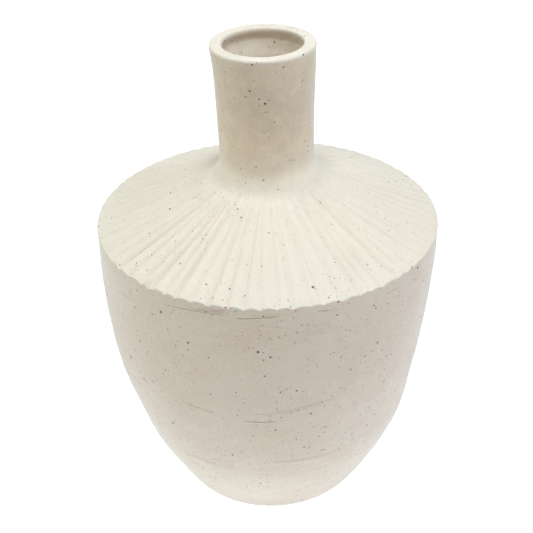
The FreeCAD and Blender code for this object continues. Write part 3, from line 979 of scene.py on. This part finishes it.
def surface_tooth(n, where, grain, specks):
    """Relief too fine for the mesh: soft orange-peel, fine grain, pin holes and sunken specks."""
    peel = n.math("MULTIPLY", n.noise(where, 2.4, 2.0, 0.5)[0], PEEL_HEIGHT)
    tooth = n.math("MULTIPLY", grain, TOOTH_HEIGHT)
    away, dice = n.cells(where, PIN_HOLE_SPACING, (71.0, 13.0, 37.0))
    radius = n.math("MULTIPLY", n.math("LESS_THAN", dice[1], 0.5), PIN_HOLE_RADIUS)
    hole = n.math("MULTIPLY", n.math("SUBTRACT", radius, away, clamp=True), 0.5)
    sunken = n.math("ADD", hole, n.math("MULTIPLY", specks, SPECK_SINK))
    bump = n.add("ShaderNodeBump")
    bump.inputs["Strength"].default_value = 0.8
    bump.inputs["Distance"].default_value = MM
    n.feed(bump.inputs["Height"], n.math("SUBTRACT", n.math("ADD", peel, tooth), sunken))
    return bump.outputs[0]


def make_stoneware():
    """Unglazed speckled stoneware, in millimetres of the vase, with painted light and shade in its colour."""
    material = bpy.data.materials.new("stoneware_speckled_painted_light")
    material.use_nodes = True
    tree = material.node_tree
    tree.nodes.clear()
    n = Nodes(tree)
    place = n.add("ShaderNodeTexCoord").outputs["Object"]
    where = n.vector("MULTIPLY", place, (1 / MM, 1 / MM, 1 / MM))
    places = Places(n, where)
    grain = n.noise(where, 0.7, 2.0, 0.6)[0]
    colour = clay_and_painted_light(n, where, places, grain)
    colour, specks = iron_specks(n, where, places, colour)
    painted_shade = n.add("ShaderNodeAttribute", attribute_name="painted_shade").outputs["Fac"]
    # painted shade in the cuts and the flutes' valleys
    colour = n.mix(n.math("MULTIPLY", painted_shade, PAINTED_SHADE_STRENGTH), colour, PAINTED_SHADE_COLOUR)

    shader = n.add("ShaderNodeBsdfPrincipled")
    n.feed(shader.inputs["Base Color"], colour)
    n.feed(shader.inputs["Roughness"], n.remap(n.noise(where, 5.0, 3.0)[0], 0.3, 0.7, 0.72, 0.88))
    n.feed(shader.inputs["Normal"], surface_tooth(n, where, grain, specks))
    shader.inputs["IOR"].default_value = 1.45
    shader.inputs["Specular IOR Level"].default_value = 0.5
    shader.inputs["Sheen Weight"].default_value = 0.5
    shader.inputs["Sheen Roughness"].default_value = 0.4
    output = n.add("ShaderNodeOutputMaterial")
    n.feed(output.inputs["Surface"], shader.outputs[0])
    return material


# ---------------------------------------------------------------- studio, in metres

FLOOR_HALF = 6.0
FLOOR_DROP = 0.0003
FLOOR_GLOW = 0.17
FLOOR_GLOW_BRIGHT = 0.995


def studio_material(name, colour, roughness, glow):
    """A matt material that gives off some light."""
    material = bpy.data.materials.new(name)
    material.use_nodes = True
    shader = material.node_tree.nodes["Principled BSDF"]
    shader.inputs["Base Color"].default_value = colour
    shader.inputs["Roughness"].default_value = roughness
    shader.inputs["Specular IOR Level"].default_value = 0.0
    shader.inputs["Emission Color"].default_value = glow
    return material, shader


def make_floor():
    """A plain pale studio floor, lit through from below around and behind the vase."""
    half = FLOOR_HALF
    corners = [(-half, -half, 0), (half, -half, 0), (half, half, 0), (-half, half, 0)]
    mesh = bpy.data.meshes.new("studio_floor")
    mesh.from_pydata(corners, [], [(0, 1, 2, 3)])
    floor = bpy.data.objects.new("studio_floor", mesh)
    floor.location.z = -FLOOR_DROP
    bpy.context.scene.collection.objects.link(floor)
    material, shader = studio_material("studio_white", (0.45, 0.45, 0.445, 1.0), 0.9, (0.88, 0.94, 1.0, 1.0))
    n = Nodes(material.node_tree)
    place = n.add("ShaderNodeTexCoord").outputs["Object"]
    axes = n.add("ShaderNodeSeparateXYZ")
    n.feed(axes.inputs[0], place)
    away = n.add("ShaderNodeVectorMath", operation="LENGTH")
    n.feed(away.inputs[0], place)
    # the glow is strongest close to the vase, which fills in with light the shadow the vase would cast on the
    # floor
    near = n.remap(away.outputs["Value"], 0.6, 0.2, 0.0, 1.0)
    behind = n.remap(axes.outputs[1], -0.35, -0.1, 0.0, 1.0)
    glow = n.remap(n.math("MAXIMUM", near, behind), 0.0, 1.0, FLOOR_GLOW, FLOOR_GLOW_BRIGHT, "LINEAR")
    n.feed(shader.inputs["Emission Strength"], glow)
    mesh.materials.append(material)


BACKDROP_RADIUS = 5.8
BACKDROP_HEIGHT = 9.0
BACKDROP_SIDES = 96
BACKDROP_START = -0.0002
BACKDROP_GLOW = 0.62


def make_backdrop():
    """A plain pale cloth all round the studio, far enough away to leave the vase's light alone."""
    turns = np.linspace(0, TURN, BACKDROP_SIDES, endpoint=False)
    ring = np.stack([BACKDROP_RADIUS * np.cos(turns), BACKDROP_RADIUS * np.sin(turns)], -1)
    points = [(x, y, z) for z in (BACKDROP_START, BACKDROP_HEIGHT) for x, y in ring.tolist()]
    faces = []
    for here in range(BACKDROP_SIDES):
        beside = (here + 1) % BACKDROP_SIDES
        faces.append((here, beside, beside + BACKDROP_SIDES, here + BACKDROP_SIDES))
    mesh = bpy.data.meshes.new("studio_backdrop")
    mesh.from_pydata(points, [], faces)
    backdrop = bpy.data.objects.new("studio_backdrop", mesh)
    backdrop.visible_diffuse = False
    backdrop.visible_glossy = False
    backdrop.visible_shadow = False
    bpy.context.scene.collection.objects.link(backdrop)
    material, shader = studio_material("studio_cloth", (0.1, 0.1, 0.1, 1.0), 1.0, (0.97, 0.985, 1.0, 1.0))
    shader.inputs["Emission Strength"].default_value = BACKDROP_GLOW
    mesh.materials.append(material)


LIGHT_TARGET = (0.0, 0.0, 0.15)


def add_softbox(name, place, size, watts, colour):
    """A soft light of size (width, height) in metres that faces the middle of the vase."""
    light = bpy.data.lights.new(name, "AREA")
    light.shape = "RECTANGLE"
    light.size, light.size_y = size
    light.energy = watts
    light.color = colour
    box = bpy.data.objects.new(name, light)
    target = Vector(LIGHT_TARGET)
    box.location = place
    box.rotation_euler = (target - Vector(place)).to_track_quat("-Z", "Y").to_euler()
    box.visible_camera = False
    bpy.context.scene.collection.objects.link(box)


# name, place, size, watts, colour
SOFTBOXES = (
    ("softbox_top", (0.0, -0.55, 2.0), (0.7, 0.5), 27.4, (0.83, 0.92, 0.935)),
    ("softbox_key", (0.95, -0.45, 1.75), (0.6, 0.5), 7.2, (0.65, 0.86, 1.0)),
    ("softbox_left_high", (-1.1, 0.1, 1.7), (0.8, 0.8), 4.5, (0.80, 0.90, 1.0)),
    ("softbox_right_high", (1.1, 0.1, 1.7), (0.8, 0.8), 3.6, (0.98, 0.85, 0.96)),
    ("softbox_left", (-1.7, 0.3, 0.6), (1.4, 1.0), 4.2, (0.83, 1.0, 0.75)),
    ("softbox_back", (0.0, 1.9, 1.1), (1.6, 1.0), 10.4, (0.76, 0.915, 1.0)),
)


def make_light():
    """The softboxes and the faint warm light of the room."""
    for softbox in SOFTBOXES:
        add_softbox(*softbox)
    world = bpy.data.worlds.new("studio_air")
    world.use_nodes = True
    background = world.node_tree.nodes["Background"]
    background.inputs["Color"].default_value = (1.0, 0.72, 0.42, 1.0)
    background.inputs["Strength"].default_value = 0.10
    bpy.context.scene.world = world


CAMERA_PLACE = (0.0, -0.6305, 0.5533)
CAMERA_PITCH = 0.5576
CAMERA_YAW = -0.002
CAMERA_ROLL = -0.0197
CAMERA_LENS = 73.51


def make_camera():
    """The camera, looking down at the vase from the front."""
    camera = bpy.data.cameras.new("camera")
    camera.lens = CAMERA_LENS
    camera.sensor_width = 36.0
    camera.clip_start = 0.01
    forward = Vector((math.sin(CAMERA_YAW) * math.cos(CAMERA_PITCH),
                      math.cos(CAMERA_YAW) * math.cos(CAMERA_PITCH), -math.sin(CAMERA_PITCH)))
    right = forward.cross(Vector((0, 0, 1))).normalized()
    up = right.cross(forward)
    across = math.cos(CAMERA_ROLL) * right + math.sin(CAMERA_ROLL) * up
    upward = -math.sin(CAMERA_ROLL) * right + math.cos(CAMERA_ROLL) * up
    holder = bpy.data.objects.new("camera", camera)
    turn = Matrix((across, upward, -forward)).transposed()
    holder.matrix_world = Matrix.Translation(CAMERA_PLACE) @ turn.to_4x4()
    bpy.context.scene.collection.objects.link(holder)
    bpy.context.scene.camera = holder


# ---------------------------------------------------------------- scene

STONEWARE = make_stoneware()
PIECES = (
    ("floor_slab", make_floor_slab),
    ("floor_seam_coil", make_floor_seam),
    ("foot_wall", make_foot_wall),
    ("belly_wall", make_belly_wall),
    ("upper_wall", make_upper_wall),
    ("shoulder_seam_coil", make_shoulder_seam),
    ("shoulder_disc", make_shoulder),
    ("neck_seam_coil", make_neck_seam),
    ("neck_tube", make_neck),
    ("lip_coil", make_lip),
)
for node, make in PIECES:
    piece = make()
    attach(piece, "root")
    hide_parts(node)

make_floor()
make_backdrop()
make_light()
make_camera()
bpy.context.scene.view_settings.view_transform = "Standard"
